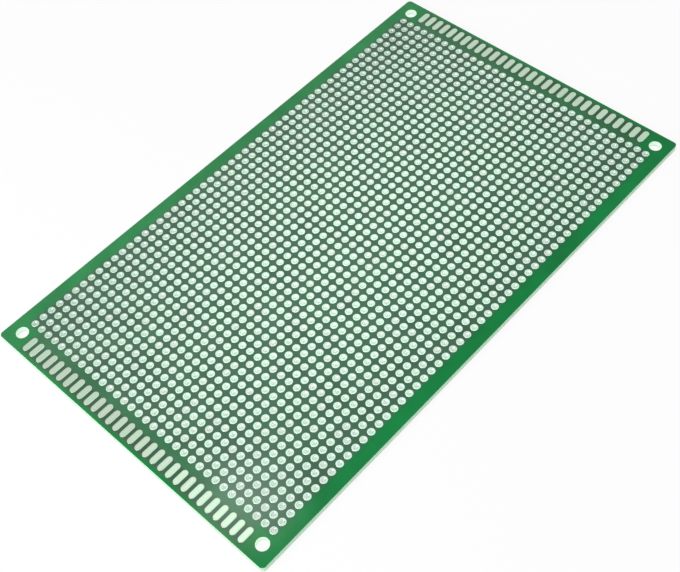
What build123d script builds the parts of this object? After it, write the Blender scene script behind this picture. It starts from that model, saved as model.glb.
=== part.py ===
"""Prototype board: a drilled glass-epoxy board with plated holes on a 0.1 inch grid.

X runs along the short side, Y along the long side towards the far end, Z up.
The origin is the middle of the board, on the plane that its lower pads rest on.
All sizes are in millimetres.
"""

import os

from build123d import *

# The board itself, with the solder mask baked onto both faces
board_width = 90.0
board_length = 150.0
board_thickness = 1.6
corner_radius = 1.0

# The four screw holes, measured in from the board's edges
mounting_hole_diameter = 3.2
mounting_hole_inset = 4.0

# The grid of plated holes, centred on the board. It has as many columns and rows
# as fit between these margins, from the board's edges to the outermost holes.
pitch = 2.54
grid_side_margin = 4.0
grid_end_margin = 7.6
plated_hole_diameter = 1.0
plating_thickness = 0.05
pad_diameter = 1.9

# Tinned copper stands this far proud of the mask, on both faces
pad_height = 0.05

# The long pads in a line across each end, as many as fit beside the screw holes
finger_width = 1.65
finger_length = 4.2
finger_end_gap = 1.05
finger_side_margin = 7.6

# How much of the grid is drilled in this model, in rings counted from its edge
# inwards, and how many sides stand for a round drilled hole or pad. Both keep the
# model light.
drilled_rings = 1
sides = 8


def count_that_fits(length):
    """How many places a pitch apart fit in that length."""
    return int(length / pitch) + 1


columns = count_that_fits(board_width - 2 * grid_side_margin)
rows = count_that_fits(board_length - 2 * grid_end_margin)
finger_count = count_that_fits(board_width - 2 * finger_side_margin)
underside_z = pad_height
top_z = underside_z + board_thickness
drill_diameter = plated_hole_diameter + 2 * plating_thickness


def grid_site(column, row):
    """Centre of one hole of the grid, counted from the near left corner."""
    x = (column - (columns - 1) / 2) * pitch
    y = (row - (rows - 1) / 2) * pitch
    return (x, y, 0)


def corner_sites():
    """The four holes at the corners of the grid."""
    return [
        grid_site(column, row) for column in (0, columns - 1) for row in (0, rows - 1)
    ]


def drilled_sites():
    """The holes of the grid's outermost rings."""
    sites = []
    for column in range(columns):
        for row in range(rows):
            rings_in = min(column, row, columns - 1 - column, rows - 1 - row)
            if rings_in < drilled_rings:
                sites.append(grid_site(column, row))
    return sites


def mounting_sites():
    """Centres of the four screw holes."""
    x = board_width / 2 - mounting_hole_inset
    y = board_length / 2 - mounting_hole_inset
    return [(side * x, end * y, 0) for side in (-1, 1) for end in (-1, 1)]


def rounded_by_sides(diameter):
    """A many-sided outline for a round hole or pad, as wide across its flats."""
    return RegularPolygon(
        diameter / 2, sides, major_radius=False, rotation=180 / sides
    )


def make_board():
    """The laminate, cut to its outline and drilled."""
    outline = RectangleRounded(board_width, board_length, corner_radius)
    screw_hole = Circle(mounting_hole_diameter / 2).wire()
    drilled_hole = rounded_by_sides(drill_diameter).wire()
    holes = [screw_hole.moved(Location(site)) for site in mounting_sites()]
    holes += [drilled_hole.moved(Location(site)) for site in drilled_sites()]
    plan = Face(outline.wire(), holes).moved(Location((0, 0, underside_z)))
    return extrude(plan, amount=board_thickness, dir=(0, 0, 1))


def make_finger():
    """One long pad, with its corners cut back to suggest round ends."""
    corner = finger_width * (1 - 0.5**0.5)
    pad = extrude(Rectangle(finger_width, finger_length), amount=pad_height)
    return chamfer(pad.edges().filter_by(Axis.Z), corner)


def make_fingers(end, height):
    """The line of long pads at one end of the board, on the face at that height."""
    y = end * (board_length / 2 - finger_end_gap - finger_length / 2)
    finger = make_finger()
    first_x = -(finger_count - 1) / 2 * pitch
    return Compound(
        [
            finger.moved(Location((first_x + number * pitch, y, height)))
            for number in range(finger_count)
        ]
    )


def make_eyelet():
    """One plated hole: a barrel through the board with a pad on each face."""
    bore = Circle(plated_hole_diameter / 2)
    pad = extrude(rounded_by_sides(pad_diameter) - bore, amount=pad_height)
    barrel = extrude(rounded_by_sides(drill_diameter) - bore, amount=board_thickness)
    return (
        pad
        + barrel.moved(Location((0, 0, underside_z)))
        + pad.moved(Location((0, 0, top_z)))
    )


def make_corner_eyelets():
    """The plated holes at the corners of the grid."""
    eyelet = make_eyelet()
    return Compound([eyelet.moved(Location(site)) for site in corner_sites()])


def main():
    nodes = {
        "board": make_board(),
        "far_top_fingers": make_fingers(1, top_z),
        "near_top_fingers": make_fingers(-1, top_z),
        "far_bottom_fingers": make_fingers(1, 0),
        "near_bottom_fingers": make_fingers(-1, 0),
        "corner_eyelets": make_corner_eyelets(),
    }
    os.makedirs("parts", exist_ok=True)
    for name, shape in nodes.items():
        export_step(shape, f"parts/{name}.step")


main()
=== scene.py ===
import math

import bpy
from mathutils import Matrix, Vector


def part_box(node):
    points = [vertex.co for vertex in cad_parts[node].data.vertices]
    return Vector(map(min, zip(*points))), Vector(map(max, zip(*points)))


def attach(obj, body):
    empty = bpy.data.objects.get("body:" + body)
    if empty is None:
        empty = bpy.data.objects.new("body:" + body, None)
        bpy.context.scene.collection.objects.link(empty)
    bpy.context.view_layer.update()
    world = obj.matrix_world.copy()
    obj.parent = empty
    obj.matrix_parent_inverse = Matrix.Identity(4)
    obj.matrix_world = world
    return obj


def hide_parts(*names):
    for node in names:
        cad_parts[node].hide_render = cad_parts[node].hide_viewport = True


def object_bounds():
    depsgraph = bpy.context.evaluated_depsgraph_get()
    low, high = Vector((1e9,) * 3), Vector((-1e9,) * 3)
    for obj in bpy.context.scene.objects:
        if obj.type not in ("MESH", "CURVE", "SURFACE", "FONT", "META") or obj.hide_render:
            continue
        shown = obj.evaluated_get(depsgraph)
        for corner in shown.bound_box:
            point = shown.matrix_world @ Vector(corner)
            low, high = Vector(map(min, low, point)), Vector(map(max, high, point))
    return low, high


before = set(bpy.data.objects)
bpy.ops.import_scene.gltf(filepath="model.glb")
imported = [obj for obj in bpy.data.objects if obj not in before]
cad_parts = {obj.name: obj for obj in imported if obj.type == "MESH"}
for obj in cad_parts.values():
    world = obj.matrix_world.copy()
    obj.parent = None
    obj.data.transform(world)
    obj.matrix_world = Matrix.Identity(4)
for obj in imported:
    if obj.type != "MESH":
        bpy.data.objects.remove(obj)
cadBox = [list(corner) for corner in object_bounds()]
mm = 0.001
print("frame loaded")

# Places that the CAD nodes give: the laminate's faces and the lower pads' plane
boardLow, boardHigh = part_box("board")
undersideZ = boardLow[2]
topZ = boardHigh[2]
padHeight = undersideZ - cadBox[0][2]


def linearColor(hexText):
    # sRGB hex to the linear values that the shaders take
    channels = [int(hexText[i : i + 2], 16) / 255 for i in (1, 3, 5)]
    linear = [c / 12.92 if c <= 0.04045 else ((c + 0.055) / 1.055) ** 2.4 for c in channels]
    return (*linear, 1.0)


def addNode(tree, kind, settings={}, inputs={}):
    # settings are the node's own options; an input is a value, a socket to link, a node,
    # whose first output is linked, or a list of those
    node = tree.nodes.new(kind)
    for name, value in settings.items():
        setattr(node, name, value)
    for name, given in inputs.items():
        for value in given if isinstance(given, list) else [given]:
            if isinstance(value, bpy.types.Node):
                value = value.outputs[0]
            if isinstance(value, bpy.types.NodeSocket):
                tree.links.new(value, node.inputs[name])
            else:
                node.inputs[name].default_value = value
    return node


# Node settings that come back often
multiply = {"operation": "MULTIPLY"}
subtract = {"operation": "SUBTRACT"}
absolute = {"operation": "ABSOLUTE"}
larger = {"operation": "MAXIMUM"}
below = {"operation": "LESS_THAN"}
smooth = {"interpolation_type": "SMOOTHSTEP"}
colored = {"data_type": "RGBA"}


def setStops(rampNode, places, tones):
    # puts each hex tone at its place on a colour ramp
    elements = rampNode.color_ramp.elements
    while len(elements) < len(places):
        elements.new(1.0)
    for element, place, tone in zip(elements, places, tones):
        element.position = place
        element.color = linearColor(tone)


def waveScale(spacing):
    # a Wave node at scale 1 goes through 20 radians in a metre
    return math.tau / (20 * spacing)


def newMaterial(name):
    # returns the material, its empty node tree and the place on the object
    material = bpy.data.materials.new(name)
    material.use_nodes = True
    tree = material.node_tree
    tree.nodes.clear()
    return material, tree, addNode(tree, "ShaderNodeTexCoord").outputs["Object"]


def finishMaterial(tree, inputs):
    shader = addNode(tree, "ShaderNodeBsdfPrincipled", inputs=inputs)
    addNode(tree, "ShaderNodeOutputMaterial", inputs={"Surface": shader.outputs[0]})


# Sizes that the pieces and the materials share
grid = {
    "pitch": 2.54 * mm,
    "columns": 33,
    "rows": 54,
    "drillRadius": 0.55 * mm,
    "drillSides": 12,
    # to a pad's twelve corners, which makes it as large as the CAD pad with its eight sides
    "padRadius": 1.0 * mm,
    "boreRadius": 0.5 * mm,
}
board = {
    "width": boardHigh[0] - boardLow[0],
    "length": boardHigh[1] - boardLow[1],
    "thickness": topZ - undersideZ,
    "cornerRadius": 1.0 * mm,
    "cornerSteps": 8,
    "screwRadius": 1.6 * mm,
    "screwSides": 48,
    "screwInset": 4.0 * mm,
}
longPad = {
    "count": 30,
    "width": 1.65 * mm,
    "length": 4.2 * mm,
    "endGap": 1.05 * mm,
    "arcSteps": 8,
    # inset from the rim and height, as shares of the pad's height
    "crown": ((0.0, 0.2), (0.8, 0.65), (3.0, 1.0)),
}

gridWidth = (grid["columns"] - 1) * grid["pitch"]
gridLength = (grid["rows"] - 1) * grid["pitch"]
longPadSpan = (longPad["count"] - 1) * grid["pitch"]
longPadOuterY = board["length"] / 2 - longPad["endGap"]
longPadInnerY = longPadOuterY - longPad["length"]

# Painted light: colours are painted brightest a little right of the board's middle, and darker
# towards its corners
lampFalloff = {
    "brightest": (6.0 * mm, -8.0 * mm, 0.0),
    "falloffShare": 0.15,
}


def paintedFalloff(tree, place):
    # painted light falloff: 1 at the brightest place, less by the square of the distance from it
    # in half boards
    perHalf = (2 / board["width"], 2 / board["length"], 0.0)
    away = addNode(tree, "ShaderNodeVectorMath", subtract, {0: place, 1: lampFalloff["brightest"]})
    halves = addNode(tree, "ShaderNodeVectorMath", multiply, {0: away, 1: perHalf})
    square = addNode(
        tree, "ShaderNodeVectorMath", {"operation": "DOT_PRODUCT"}, {0: halves, 1: halves}
    ).outputs["Value"]
    loss = addNode(tree, "ShaderNodeMath", multiply, {0: square, 1: lampFalloff["falloffShare"]})
    return addNode(tree, "ShaderNodeMath", subtract, {0: 1.0, 1: loss})


solderMask = {
    "green": "#178444",        # where light comes through the bare margins
    "shadedGreen": "#50735C",  # between the pads, where copper on both faces blocks it
    "deepGreen": "#435E4A",    # between the long pads, where they block it most
    "stripShade": 0.65,        # how shaded the strip before the long pads is
    "shadeFade": 0.8 * mm,
    # painted light: from the left side to the right one the green is painted deeper and darker
    "saturation": (0.9, 1.12),
    "value": (1.07, 0.9),
    # cloudy resin, in blots that are darker or lighter by this much
    "blotSize": 8.0 * mm,
    "blotDetail": 4.0,
    "blotContrast": (0.3, 0.7),
    "blotValue": (0.86, 1.14),
    # painted glare: a whitish patch painted near the near right corner
    "paintedGlare": "#E4F4E6",
    "glarePlace": (31.0 * mm, -66.0 * mm, topZ),
    "glareReach": 18.0 * mm,
    "glareShare": 0.12,
    # the weave of the glass cloth, drawn coarser than the real one and barely visible
    "threadPitch": math.pi * mm,
    "threadHeight": 0.006 * mm,
    "threadStrength": 0.25,
    "roughness": 0.27,
    "specular": 0.15,
}


def makeSolderMask():
    # Liquid photo-imaged solder mask: a glossy green resin skin, baked over glass cloth.
    # Its gloss is soft, the cloth shows through as a faint weave, and the green is greyer
    # inside the grid, where the copper keeps light out of the laminate.
    material, tree, place = newMaterial("solder_mask_glossy_green")
    axes = addNode(tree, "ShaderNodeSeparateXYZ", inputs={0: place}).outputs
    awayX, awayY = (
        addNode(tree, "ShaderNodeMath", absolute, {0: axes[axis]}) for axis in ("X", "Y")
    )
    fade = solderMask["shadeFade"]
    shades = []
    for reachX, reachY in (
        (gridWidth / 2 + grid["padRadius"], gridLength / 2 + grid["padRadius"]),
        (longPadSpan / 2 + longPad["width"] / 2, longPadOuterY),
    ):
        insideX, insideY = (
            addNode(
                tree,
                "ShaderNodeMapRange",
                smooth,
                {"Value": away, "From Min": reach + fade, "From Max": reach - fade},
            )
            for away, reach in ((awayX, reachX), (awayY, reachY))
        )
        shades.append(addNode(tree, "ShaderNodeMath", multiply, {0: insideX, 1: insideY}))
    inGrid, inEnds = shades
    # the ends are shaded most between the long pads, and less on the strip before them
    inLine = addNode(
        tree,
        "ShaderNodeMapRange",
        smooth,
        {"Value": awayY, "From Min": longPadInnerY, "From Max": longPadInnerY + fade},
    )
    endShare = addNode(
        tree, "ShaderNodeMapRange", inputs={"Value": inLine, "To Min": solderMask["stripShade"]}
    )
    endShade = addNode(tree, "ShaderNodeMath", multiply, {0: inEnds, 1: endShare})
    shaded = addNode(tree, "ShaderNodeMath", larger, {0: inGrid, 1: endShade})
    deep = addNode(tree, "ShaderNodeMath", multiply, {0: inLine, 1: inEnds})
    # the grid's green is painted darker away from the brightest place too, a painted light
    # falloff
    gridGreen = addNode(
        tree,
        "ShaderNodeHueSaturation",
        inputs={"Value": paintedFalloff(tree, place), "Color": linearColor(solderMask["shadedGreen"])},
    )
    # inputs 6 and 7 and output 2 are the ones that a Mix node has for colours
    green = linearColor(solderMask["green"])
    for share, tone in ((shaded, gridGreen), (deep, linearColor(solderMask["deepGreen"]))):
        mixed = addNode(tree, "ShaderNodeMix", colored, {"Factor": share, 6: green, 7: tone})
        green = mixed.outputs[2]
    cloud = addNode(
        tree,
        "ShaderNodeTexNoise",
        inputs={
            "Vector": place,
            "Scale": 1 / solderMask["blotSize"],
            "Detail": solderMask["blotDetail"],
        },
    )
    lowest, highest = solderMask["blotContrast"]
    darkest, lightest = solderMask["blotValue"]
    blots = addNode(
        tree,
        "ShaderNodeMapRange",
        inputs={
            "Value": cloud,
            "From Min": lowest,
            "From Max": highest,
            "To Min": darkest,
            "To Max": lightest,
        },
    )
    # painted light: saturation and value of the green change from the left side to the right one
    saturation, value = (
        addNode(
            tree,
            "ShaderNodeMapRange",
            inputs={
                "Value": axes["X"],
                "From Min": -board["width"] / 2,
                "From Max": board["width"] / 2,
                "To Min": atLeft,
                "To Max": atRight,
            },
        )
        for atLeft, atRight in (solderMask["saturation"], solderMask["value"])
    )
    brightness = addNode(tree, "ShaderNodeMath", multiply, {0: blots, 1: value})
    graded = addNode(
        tree,
        "ShaderNodeHueSaturation",
        inputs={"Saturation": saturation, "Value": brightness, "Color": green},
    )
    # painted glare: a whitish patch mixed into the green around one place
    toGlare = addNode(
        tree,
        "ShaderNodeVectorMath",
        {"operation": "DISTANCE"},
        {0: place, 1: solderMask["glarePlace"]},
    ).outputs["Value"]
    paintedGlare = addNode(
        tree,
        "ShaderNodeMapRange",
        smooth,
        {
            "Value": toGlare,
            "From Min": solderMask["glareReach"],
            "From Max": 0.0,
            "To Max": solderMask["glareShare"],
        },
    )
    glared = addNode(
        tree,
        "ShaderNodeMix",
        colored,
        {"Factor": paintedGlare, 6: graded, 7: linearColor(solderMask["paintedGlare"])},
    )
    # warp and weft of the glass cloth as two crossed waves
    warp, weft = (
        addNode(
            tree,
            "ShaderNodeTexWave",
            {"bands_direction": direction},
            {"Vector": place, "Scale": waveScale(solderMask["threadPitch"])},
        ).outputs["Fac"]
        for direction in ("X", "Y")
    )
    cloth = addNode(tree, "ShaderNodeMath", larger, {0: warp, 1: weft})
    weave = addNode(
        tree,
        "ShaderNodeBump",
        inputs={
            "Strength": solderMask["threadStrength"],
            "Distance": solderMask["threadHeight"],
            "Height": cloth,
        },
    )
    finishMaterial(
        tree,
        {
            "Base Color": glared.outputs[2],
            "Roughness": solderMask["roughness"],
            "IOR": 1.5,
            "Specular IOR Level": solderMask["specular"],
            "Normal": weave,
        },
    )
    return material


laminateEdge = {
    "resin": "#B8E6C1",
    "glass": "#DFF9E2",
    "toneSpread": (0.05, 0.55),
    "bandSpacing": 0.4 * math.pi * mm,
    "bandWaviness": 1.5,
    "fibreSize": mm / 1.5,
    "sawDepth": 0.01 * mm,
    "sawStrength": 0.4,
    "roughness": 0.65,
    # what the white table sends through the laminate into its screw holes
    "holeLight": "#FFFFFF",
    "holeGlow": 0.25,
}


def makeLaminateEdge():
    # Glass-epoxy laminate, sawn and drilled: a matt wall, pale because light comes through
    # the glass, with soft bands along it where glass and resin take turns
    material, tree, place = newMaterial("glass_epoxy_sawn_edge")
    layers = addNode(
        tree,
        "ShaderNodeTexWave",
        {"bands_direction": "Z"},
        {
            "Vector": place,
            "Scale": waveScale(laminateEdge["bandSpacing"]),
            "Distortion": laminateEdge["bandWaviness"],
        },
    ).outputs["Fac"]
    fibres = addNode(
        tree,
        "ShaderNodeTexNoise",
        inputs={"Vector": place, "Scale": 1 / laminateEdge["fibreSize"]},
    )
    mixed = addNode(tree, "ShaderNodeMath", multiply, {0: layers, 1: fibres})
    color = addNode(tree, "ShaderNodeValToRGB", inputs={"Fac": mixed})
    setStops(color, laminateEdge["toneSpread"], (laminateEdge["resin"], laminateEdge["glass"]))
    sawn = addNode(
        tree,
        "ShaderNodeBump",
        inputs={
            "Strength": laminateEdge["sawStrength"],
            "Distance": laminateEdge["sawDepth"],
            "Height": mixed,
        },
    )
    # a wall inside the outline is a hole's, and glows a little with light from the table
    axes = addNode(tree, "ShaderNodeSeparateXYZ", inputs={0: place}).outputs
    glow = laminateEdge["holeGlow"]
    for axis, size in (("X", board["width"]), ("Y", board["length"])):
        away = addNode(tree, "ShaderNodeMath", absolute, {0: axes[axis]})
        limit = size / 2 - board["cornerRadius"]
        inside = addNode(tree, "ShaderNodeMath", below, {0: away, 1: limit})
        glow = addNode(tree, "ShaderNodeMath", multiply, {0: glow, 1: inside})
    finishMaterial(
        tree,
        {
            "Base Color": color,
            "Roughness": laminateEdge["roughness"],
            "IOR": 1.52,
            "Normal": sawn,
            "Emission Color": linearColor(laminateEdge["holeLight"]),
            "Emission Strength": glow,
        },
    )
    return material


tinFinish = {
    "roundPad": {
        "tones": ("#D5EEDC", "#DBF3E2", "#D7FDE3", "#DBFFEA"),
        "roughness": 0.34,
        "bump": 0.3,
        "glow": 0.0,
    },
    "longPad": {
        "tones": ("#ABD0B3", "#B2D1B7", "#AED6B7", "#B4DABC"),
        "roughness": 0.22,
        "bump": 0.3,
        "glow": 0.0,
    },
    "holeWall": {
        "tones": ("#FAFFFB", "#FBFFFC", "#F8FFFA", "#FAFFFC"),
        "roughness": 0.3,
        "bump": 0.05,
        "glow": 0.07,
    },
    # light that seeps through the laminate glows green on the walls of the holes
    "seepingLight": "#90FFA8",
    "toneSpread": (0.0, 0.12, 0.4, 1.0),
    "roughnessSpread": 0.08,
    "grainSize": 0.4 * mm,
    "grainDetail": 3.0,
    "grainDepth": 0.01 * mm,
    # along the middle of a long pad the tin pooled thick and dulled to a warmer grey, in
    # streaks, and more on some pads than on others
    "pool": "#CDCCC0",
    "poolShare": 0.95,
    "poolReach": (0.2 * mm, 0.5 * mm),
    "streakSize": 0.8 * mm,
    "streakContrast": (0.35, 0.65),
    "leastInStreaks": 0.6,
    "leastOnPads": 0.65,
}


def pooled(tree, color, place, cell, perPad):
    # mixes in the pool's grey by the distance from a long pad's middle line
    inCell = addNode(tree, "ShaderNodeVectorMath", {"operation": "FRACTION"}, {0: cell})
    across = addNode(tree, "ShaderNodeSeparateXYZ", inputs={0: inCell})
    offset = addNode(tree, "ShaderNodeMath", subtract, {0: across, 1: 0.5})
    distance = addNode(tree, "ShaderNodeMath", absolute, {0: offset})
    near, far = (reach / grid["pitch"] for reach in tinFinish["poolReach"])
    inPool = addNode(
        tree,
        "ShaderNodeMapRange",
        smooth,
        {"Value": distance, "From Min": far, "From Max": near},
    )
    streaks = addNode(
        tree,
        "ShaderNodeTexNoise",
        inputs={"Vector": place, "Scale": 1 / tinFinish["streakSize"]},
    )
    lowest, highest = tinFinish["streakContrast"]
    inStreaks = addNode(
        tree,
        "ShaderNodeMapRange",
        inputs={
            "Value": streaks,
            "From Min": lowest,
            "From Max": highest,
            "To Min": tinFinish["leastInStreaks"] * tinFinish["poolShare"],
            "To Max": tinFinish["poolShare"],
        },
    )
    chance = addNode(tree, "ShaderNodeSeparateColor", inputs={"Color": perPad})
    onPad = addNode(
        tree,
        "ShaderNodeMapRange",
        inputs={"Value": chance.outputs["Green"], "To Min": tinFinish["leastOnPads"]},
    )
    share = inPool
    for part in (inStreaks, onPad):
        share = addNode(tree, "ShaderNodeMath", multiply, {0: share, 1: part})
    pool = linearColor(tinFinish["pool"])
    mixed = addNode(tree, "ShaderNodeMix", colored, {"Factor": share, 6: color, 7: pool})
    return mixed.outputs[2]


def makeTin(name, use, countX, cellY):
    # Hot-air levelled tin over copper: a soft bright metal that pooled while molten, so
    # each pad has its own tone, from clean silver to a duller or warmer grey. On the wall
    # of a hole it flowed smooth, and leads the light of the table through.
    finish = tinFinish[use]
    material, tree, place = newMaterial(name)
    # which pad this is: an odd count has a pad on the centre line, an even one a gap
    cell = addNode(
        tree,
        "ShaderNodeVectorMath",
        {"operation": "MULTIPLY_ADD"},
        {
            0: place,
            1: (1 / grid["pitch"], 1 / cellY, 0.0),
            2: (0.5 * (countX % 2), 0.0, 0.0),
        },
    )
    padNumber = addNode(tree, "ShaderNodeVectorMath", {"operation": "FLOOR"}, {0: cell})
    perPad = addNode(tree, "ShaderNodeTexWhiteNoise", inputs={"Vector": padNumber}).outputs
    color = addNode(tree, "ShaderNodeValToRGB", inputs={"Fac": perPad["Value"]})
    setStops(color, tinFinish["toneSpread"], finish["tones"])
    if use == "longPad":
        color = pooled(tree, color, place, cell, perPad["Color"])
    else:
        # painted light: the round pads' tones are painted darker away from the brightest place
        color = addNode(
            tree,
            "ShaderNodeHueSaturation",
            inputs={"Value": paintedFalloff(tree, place), "Color": color},
        )
    grain = addNode(
        tree,
        "ShaderNodeTexNoise",
        inputs={
            "Vector": place,
            "Scale": 1 / tinFinish["grainSize"],
            "Detail": tinFinish["grainDetail"],
        },
    )
    roughness = addNode(
        tree,
        "ShaderNodeMapRange",
        inputs={
            "Value": grain,
            "To Min": finish["roughness"] - tinFinish["roughnessSpread"],
            "To Max": finish["roughness"] + tinFinish["roughnessSpread"],
        },
    )
    grainy = addNode(
        tree,
        "ShaderNodeBump",
        inputs={
            "Strength": finish["bump"],
            "Distance": tinFinish["grainDepth"],
            "Height": grain,
        },
    )
    finishMaterial(
        tree,
        {
            "Base Color": color,
            "Metallic": 1.0,
            "Roughness": roughness,
            "Normal": grainy,
            "Emission Color": linearColor(tinFinish["seepingLight"]),
            "Emission Strength": finish["glow"],
        },
    )
    return material


maskMaterial = makeSolderMask()
edgeMaterial = makeLaminateEdge()
padTin = makeTin("tin_levelled_round_pads", "roundPad", grid["columns"], grid["pitch"])
wallTin = makeTin("tin_smooth_hole_walls", "holeWall", grid["columns"], grid["pitch"])
longPadTin = makeTin("tin_levelled_long_pads", "longPad", longPad["count"], board["length"])
print("materials made")


def newGeometryTree(name, sockets):
    # sockets: name to (socket type, value); returns the tree and its input node
    tree = bpy.data.node_groups.new(name, "GeometryNodeTree")
    for label, (socketType, _) in sockets.items():
        tree.interface.new_socket(label, in_out="INPUT", socket_type=socketType)
    tree.interface.new_socket("Geometry", in_out="OUTPUT", socket_type="NodeSocketGeometry")
    return tree, tree.nodes.new("NodeGroupInput").outputs


def plainPiece(name, tree, sockets):
    # runs the tree on an empty mesh and keeps the result as a plain mesh
    maker = bpy.data.objects.new(name + "_maker", bpy.data.meshes.new(name + "_maker"))
    bpy.context.collection.objects.link(maker)
    modifier = maker.modifiers.new(tree.name, "NODES")
    modifier.node_group = tree
    for item in tree.interface.items_tree:
        if item.in_out == "INPUT":
            modifier[item.identifier] = sockets[item.name][1]
    evaluated = maker.evaluated_get(bpy.context.evaluated_depsgraph_get())
    mesh = bpy.data.meshes.new_from_object(evaluated)
    mesh.name = name
    piece = bpy.data.objects.new(name, mesh)
    bpy.context.collection.objects.link(piece)
    maker.modifiers.clear()
    bpy.data.objects.remove(maker)
    print(name, len(mesh.polygons), "faces")
    return piece


def copiesOnGrid(tree, shape, spans, counts, centre=(0.0, 0.0, 0.0)):
    # real copies of a shape on a centred grid, or on a line where one count is 1
    sites = addNode(
        tree,
        "GeometryNodeMeshGrid",
        inputs={
            "Size X": spans[0],
            "Size Y": spans[1],
            "Vertices X": counts[0],
            "Vertices Y": counts[1],
        },
    )
    moved = addNode(
        tree,
        "GeometryNodeTransform",
        inputs={"Geometry": sites.outputs["Mesh"], "Translation": centre},
    )
    copies = addNode(
        tree,
        "GeometryNodeInstanceOnPoints",
        inputs={"Points": moved.outputs[0], "Instance": shape},
    )
    return addNode(tree, "GeometryNodeRealizeInstances", inputs={0: copies.outputs[0]}).outputs[0]


def makeBoard():
    # the laminate: its outline and every hole are filled as one sheet, then given thickness
    screwSpanX, screwSpanY = (
        board[side] - 2 * board["screwInset"] for side in ("width", "length")
    )
    sockets = {
        "Width": ("NodeSocketFloat", board["width"]),
        "Length": ("NodeSocketFloat", board["length"]),
        "Thickness": ("NodeSocketFloat", board["thickness"]),
        "Underside": ("NodeSocketFloat", undersideZ),
        "Corner Radius": ("NodeSocketFloat", board["cornerRadius"]),
        "Corner Steps": ("NodeSocketInt", board["cornerSteps"]),
        "Screw Radius": ("NodeSocketFloat", board["screwRadius"]),
        "Screw Sides": ("NodeSocketInt", board["screwSides"]),
        "Screw Span X": ("NodeSocketFloat", screwSpanX),
        "Screw Span Y": ("NodeSocketFloat", screwSpanY),
        "Columns": ("NodeSocketInt", grid["columns"]),
        "Rows": ("NodeSocketInt", grid["rows"]),
        "Span X": ("NodeSocketFloat", gridWidth),
        "Span Y": ("NodeSocketFloat", gridLength),
        "Drill Radius": ("NodeSocketFloat", grid["drillRadius"]),
        "Drill Sides": ("NodeSocketInt", grid["drillSides"]),
        "Faces": ("NodeSocketMaterial", maskMaterial),
        "Walls": ("NodeSocketMaterial", edgeMaterial),
    }
    tree, given = newGeometryTree("drilled_board", sockets)
    outline = addNode(
        tree,
        "GeometryNodeCurvePrimitiveQuadrilateral",
        inputs={"Width": given["Width"], "Height": given["Length"]},
    )
    rounded = addNode(
        tree,
        "GeometryNodeFilletCurve",
        {"mode": "POLY"},
        {
            "Curve": outline.outputs[0],
            "Radius": given["Corner Radius"],
            "Count": given["Corner Steps"],
        },
    )
    loops = [rounded.outputs[0]]
    for hole, spans, counts in (
        ("Drill", (given["Span X"], given["Span Y"]), (given["Columns"], given["Rows"])),
        ("Screw", (given["Screw Span X"], given["Screw Span Y"]), (2, 2)),
    ):
        circle = addNode(
            tree,
            "GeometryNodeCurvePrimitiveCircle",
            inputs={"Resolution": given[hole + " Sides"], "Radius": given[hole + " Radius"]},
        )
        loops.append(copiesOnGrid(tree, circle.outputs["Curve"], spans, counts))
    drawn = addNode(tree, "GeometryNodeJoinGeometry", inputs={0: loops})
    sheet = addNode(
        tree, "GeometryNodeFillCurve", {"mode": "TRIANGLES"}, {"Curve": drawn}
    )
    lift, thickness = (
        addNode(tree, "ShaderNodeCombineXYZ", inputs={"Z": given[height]}).outputs[0]
        for height in ("Underside", "Thickness")
    )
    low = addNode(
        tree,
        "GeometryNodeTransform",
        inputs={"Geometry": sheet.outputs[0], "Translation": lift},
    )
    raised = addNode(
        tree,
        "GeometryNodeExtrudeMesh",
        {"mode": "FACES"},
        {"Mesh": low.outputs[0], "Offset": thickness, "Offset Scale": 1.0, "Individual": False},
    )
    under = addNode(tree, "GeometryNodeFlipFaces", inputs={"Mesh": low.outputs[0]})
    closed = addNode(tree, "GeometryNodeJoinGeometry", inputs={0: [under, raised]})
    merged = addNode(
        tree,
        "GeometryNodeMergeByDistance",
        inputs={"Geometry": closed, "Distance": 0.001 * mm},
    )
    # a face that doesn't look up or down is a wall, which is shaded smooth
    normal = addNode(tree, "GeometryNodeInputNormal")
    axes = addNode(tree, "ShaderNodeSeparateXYZ", inputs={0: normal}).outputs
    tilt = addNode(tree, "ShaderNodeMath", absolute, {0: axes["Z"]})
    isWall = addNode(tree, "ShaderNodeMath", below, {0: tilt, 1: 0.5})
    faced = addNode(
        tree,
        "GeometryNodeSetMaterial",
        inputs={"Geometry": merged.outputs[0], "Material": given["Faces"]},
    )
    walled = addNode(
        tree,
        "GeometryNodeSetMaterial",
        inputs={"Geometry": faced.outputs[0], "Selection": isWall, "Material": given["Walls"]},
    )
    shaded = addNode(
        tree,
        "GeometryNodeSetShadeSmooth",
        {"domain": "FACE"},
        {"Geometry": walled.outputs[0], "Shade Smooth": isWall},
    )
    addNode(tree, "NodeGroupOutput", inputs={"Geometry": shaded.outputs[0]})
    return plainPiece("drilled_laminate", tree, sockets)


def repeatOnGrid(name, template, finish, centre, counts, spans):
    # a piece of many copies of a template object, which is then removed
    sockets = {
        "Template": ("NodeSocketObject", template),
        "Count X": ("NodeSocketInt", counts[0]),
        "Count Y": ("NodeSocketInt", counts[1]),
        "Span X": ("NodeSocketFloat", spans[0]),
        "Span Y": ("NodeSocketFloat", spans[1]),
        "Centre": ("NodeSocketVector", centre),
        "Finish": ("NodeSocketMaterial", finish),
    }
    tree, given = newGeometryTree(name + "_repeat", sockets)
    shape = addNode(tree, "GeometryNodeObjectInfo", inputs={"Object": given["Template"]})
    copies = copiesOnGrid(
        tree,
        shape.outputs["Geometry"],
        (given["Span X"], given["Span Y"]),
        (given["Count X"], given["Count Y"]),
        given["Centre"],
    )
    finished = addNode(
        tree,
        "GeometryNodeSetMaterial",
        inputs={"Geometry": copies, "Material": given["Finish"]},
    )
    addNode(tree, "NodeGroupOutput", inputs={"Geometry": finished.outputs[0]})
    piece = plainPiece(name, tree, sockets)
    bpy.data.objects.remove(template)
    return piece


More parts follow.
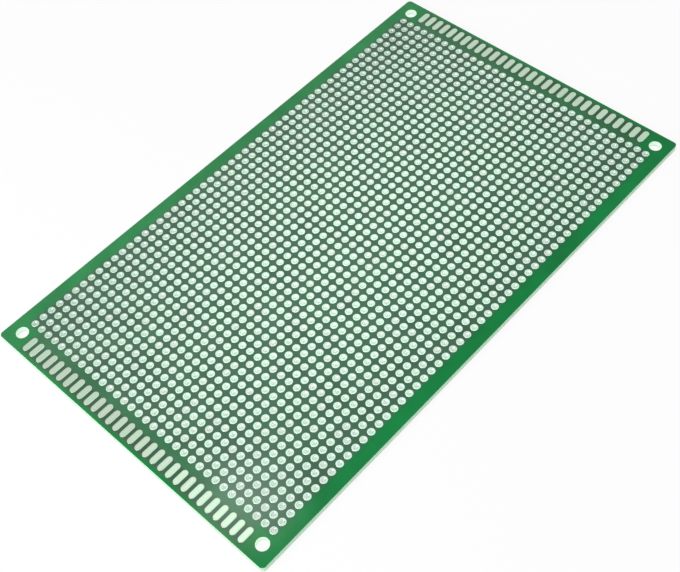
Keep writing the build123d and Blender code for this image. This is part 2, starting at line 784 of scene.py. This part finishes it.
def templateObject(name, vertices, faces):
    mesh = bpy.data.meshes.new(name)
    mesh.from_pydata(vertices, [], faces)
    template = bpy.data.objects.new(name, mesh)
    bpy.context.collection.objects.link(template)
    return template


def lathe(name, profile, sides):
    # a closed ring turned from a closed profile of (radius, height) points; it wants them
    # anticlockwise, so that its faces point outwards
    vertices, faces = [], []
    for step in range(sides):
        angle = math.tau * step / sides
        vertices += [(r * math.cos(angle), r * math.sin(angle), z) for r, z in profile]
    rows = len(profile)
    for step in range(sides):
        here, there = step * rows, (step + 1) % sides * rows
        for row in range(rows):
            nextRow = (row + 1) % rows
            faces.append((here + row, there + row, there + nextRow, here + nextRow))
    return templateObject(name, vertices, faces)


roundPad = {
    "sides": 12,
    # the tin is drawn thin at both rims and stands highest between them
    "crown": ((0.0, 0.0), (0.26, 1.0), (0.84, 1.0), (1.0, 0.0)),
}


def makeRoundPad(facing):
    # facing is 1 for the upper face and -1 for the lower one
    width = grid["padRadius"] - grid["boreRadius"]
    profile = [
        (grid["boreRadius"] + across * width, facing * up * padHeight)
        for across, up in roundPad["crown"]
    ]
    if facing > 0:
        profile.reverse()
    pad = lathe("round_pad", profile, roundPad["sides"])
    for polygon in pad.data.polygons:
        # all but the flat side on the board
        polygon.use_smooth = abs(polygon.center.z) > 0.002 * mm
    return pad


def makeBarrel():
    # the plating on a hole's wall, from face to face
    bore, drill = grid["boreRadius"], grid["drillRadius"]
    height = board["thickness"]
    profile = [(bore, 0.0), (drill, 0.0), (drill, height), (bore, height)]
    barrel = lathe("barrel", profile, roundPad["sides"])
    for polygon in barrel.data.polygons:
        # all but its two end faces
        polygon.use_smooth = abs(polygon.normal.z) < 0.5
    return barrel


def makeLongPad(facing):
    # a flat-topped pad with round ends and soft shoulders
    loops = [(0.0, 0.0)] + [(inset * padHeight, up * padHeight) for inset, up in longPad["crown"]]
    steps = longPad["arcSteps"]
    count = 2 * (steps + 1)
    reach = (longPad["length"] - longPad["width"]) / 2
    vertices, faces = [], []
    for inset, height in loops:
        radius = longPad["width"] / 2 - inset
        for end in (1, -1):
            for step in range(steps + 1):
                angle = math.pi * step / steps
                x = end * radius * math.cos(angle)
                y = end * (reach + radius * math.sin(angle))
                vertices.append((x, y, facing * height))
    for loop in range(len(loops) - 1):
        for step in range(count):
            a, b = loop * count + step, loop * count + (step + 1) % count
            faces.append((a, b, b + count, a + count))
    faces.append(tuple(reversed(range(count))))
    faces.append(tuple(range((len(loops) - 1) * count, len(loops) * count)))
    if facing < 0:
        faces = [tuple(reversed(face)) for face in faces]
    pad = templateObject("long_pad", vertices, faces)
    for polygon in pad.data.polygons:
        # the shoulders, whose faces have four sides
        polygon.use_smooth = len(polygon.vertices) == 4
    return pad


laminate = makeBoard()
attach(laminate, "root")
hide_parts("board")

gridCounts = (grid["columns"], grid["rows"])
gridSpans = (gridWidth, gridLength)
plating = repeatOnGrid(
    "hole_plating", makeBarrel(), wallTin, (0.0, 0.0, undersideZ), gridCounts, gridSpans
)
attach(plating, "root")
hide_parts("corner_eyelets")

longPadY = (longPadInnerY + longPadOuterY) / 2
for face, facing, faceZ in (("top", 1, topZ), ("bottom", -1, undersideZ)):
    pads = repeatOnGrid(
        "round_pads_" + face,
        makeRoundPad(facing),
        padTin,
        (0.0, 0.0, faceZ),
        gridCounts,
        gridSpans,
    )
    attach(pads, "root")
    for end, side in (("far", 1), ("near", -1)):
        fingers = repeatOnGrid(
            end + "_long_pads_" + face,
            makeLongPad(facing),
            longPadTin,
            (0.0, side * longPadY, faceZ),
            (longPad["count"], 1),
            (longPadSpan, 0.0),
        )
        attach(fingers, "root")
        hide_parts(end + "_" + face + "_fingers")
print("board and pads made")


studio = {
    "floorSize": 4.0,
    "card": "#FCFCFC",
    "light": "#FFFFFF",
    "shadowShare": 0.15,
    "worldStrength": 0.7,
    # in metres and watts; the first stands high beyond the left side, and the second leans
    # in from the near side and lights the near wall
    "softboxes": {
        "overhead": {"size": 0.2, "power": 0.1, "place": (-0.2, 0.09, 0.637)},
        "front": {"size": 0.25, "power": 0.75, "place": (-0.05, -0.35, 0.2)},
    },
}


def seenShare(tree, cameraShare=1.0):
    # how much plain white shows: to the camera, and in full to what metal mirrors; none of
    # it lights the board
    path = addNode(tree, "ShaderNodeLightPath").outputs
    seen = addNode(tree, "ShaderNodeMath", multiply, {0: path["Is Camera Ray"], 1: cameraShare})
    for kind in ("Is Glossy Ray", "Is Transmission Ray"):
        seen = addNode(tree, "ShaderNodeMath", larger, {0: seen, 1: path[kind]})
    return seen


def makeFloor():
    # white card: the table top of the photograph, which keeps a faint shadow of the board
    half = studio["floorSize"] / 2
    corners = [(-half, -half, 0), (half, -half, 0), (half, half, 0), (-half, half, 0)]
    floor = templateObject("floor", corners, [(0, 1, 2, 3)])
    material, tree, _ = newMaterial("white_card")
    card = addNode(tree, "ShaderNodeBsdfDiffuse", inputs={"Color": linearColor(studio["card"])})
    white = addNode(
        tree,
        "ShaderNodeEmission",
        inputs={"Color": linearColor(studio["light"]), "Strength": 1.0},
    )
    share = seenShare(tree, 1 - studio["shadowShare"])
    both = addNode(
        tree, "ShaderNodeMixShader", inputs={0: share, 1: card.outputs[0], 2: white.outputs[0]}
    )
    addNode(tree, "ShaderNodeOutputMaterial", inputs={"Surface": both.outputs[0]})
    floor.data.materials.append(material)


def makeWorld():
    # an even white room, at full white wherever the camera or a mirror-like surface sees it
    world = bpy.data.worlds.new("studio")
    bpy.context.scene.world = world
    world.use_nodes = True
    tree = world.node_tree
    tree.nodes.clear()
    strength = addNode(
        tree,
        "ShaderNodeMapRange",
        inputs={"Value": seenShare(tree), "To Min": studio["worldStrength"]},
    )
    light = addNode(
        tree,
        "ShaderNodeBackground",
        inputs={"Color": linearColor(studio["light"]), "Strength": strength},
    )
    addNode(tree, "ShaderNodeOutputWorld", inputs={"Surface": light.outputs[0]})


def aimed(place, aim, roll=0.0):
    # a matrix at place that looks at aim, turned about its line of sight by roll degrees
    direction = (Vector(aim) - Vector(place)).to_track_quat("-Z", "Y").to_matrix().to_4x4()
    return Matrix.Translation(place) @ direction @ Matrix.Rotation(math.radians(roll), 4, "Z")


def makeSoftboxes():
    for name, sizes in studio["softboxes"].items():
        data = bpy.data.lights.new(name, "AREA")
        data.size = sizes["size"]
        data.energy = sizes["power"]
        softbox = bpy.data.objects.new(name, data)
        bpy.context.collection.objects.link(softbox)
        softbox.matrix_world = aimed(sizes["place"], (0, 0, 0))


# Found by matching the pads of the photograph: the camera stands over the near right
# corner, looks down at 54 degrees and is tipped by 8 degrees
view = {
    "lensMm": 60.98,
    "sensorMm": 36.0,
    "clipStart": 0.01,
    "azimuth": 49.46,
    "elevation": 53.99,
    "distance": 275.7 * mm,
    "aim": (8.6 * mm, -12.4 * mm, topZ),
    "roll": -8.12,
}


def makeCamera():
    data = bpy.data.cameras.new("camera")
    data.lens = view["lensMm"]
    data.sensor_width = view["sensorMm"]
    data.clip_start = view["clipStart"]
    camera = bpy.data.objects.new("camera", data)
    bpy.context.collection.objects.link(camera)
    azimuth, elevation = math.radians(view["azimuth"]), math.radians(view["elevation"])
    outward = Vector(
        (
            math.sin(azimuth) * math.cos(elevation),
            -math.cos(azimuth) * math.cos(elevation),
            math.sin(elevation),
        )
    )
    aim = Vector(view["aim"])
    camera.matrix_world = aimed(aim + view["distance"] * outward, aim, view["roll"])
    bpy.context.scene.camera = camera


makeFloor()
makeWorld()
makeSoftboxes()
makeCamera()
bpy.context.scene.view_settings.view_transform = "Standard"
print("studio made")
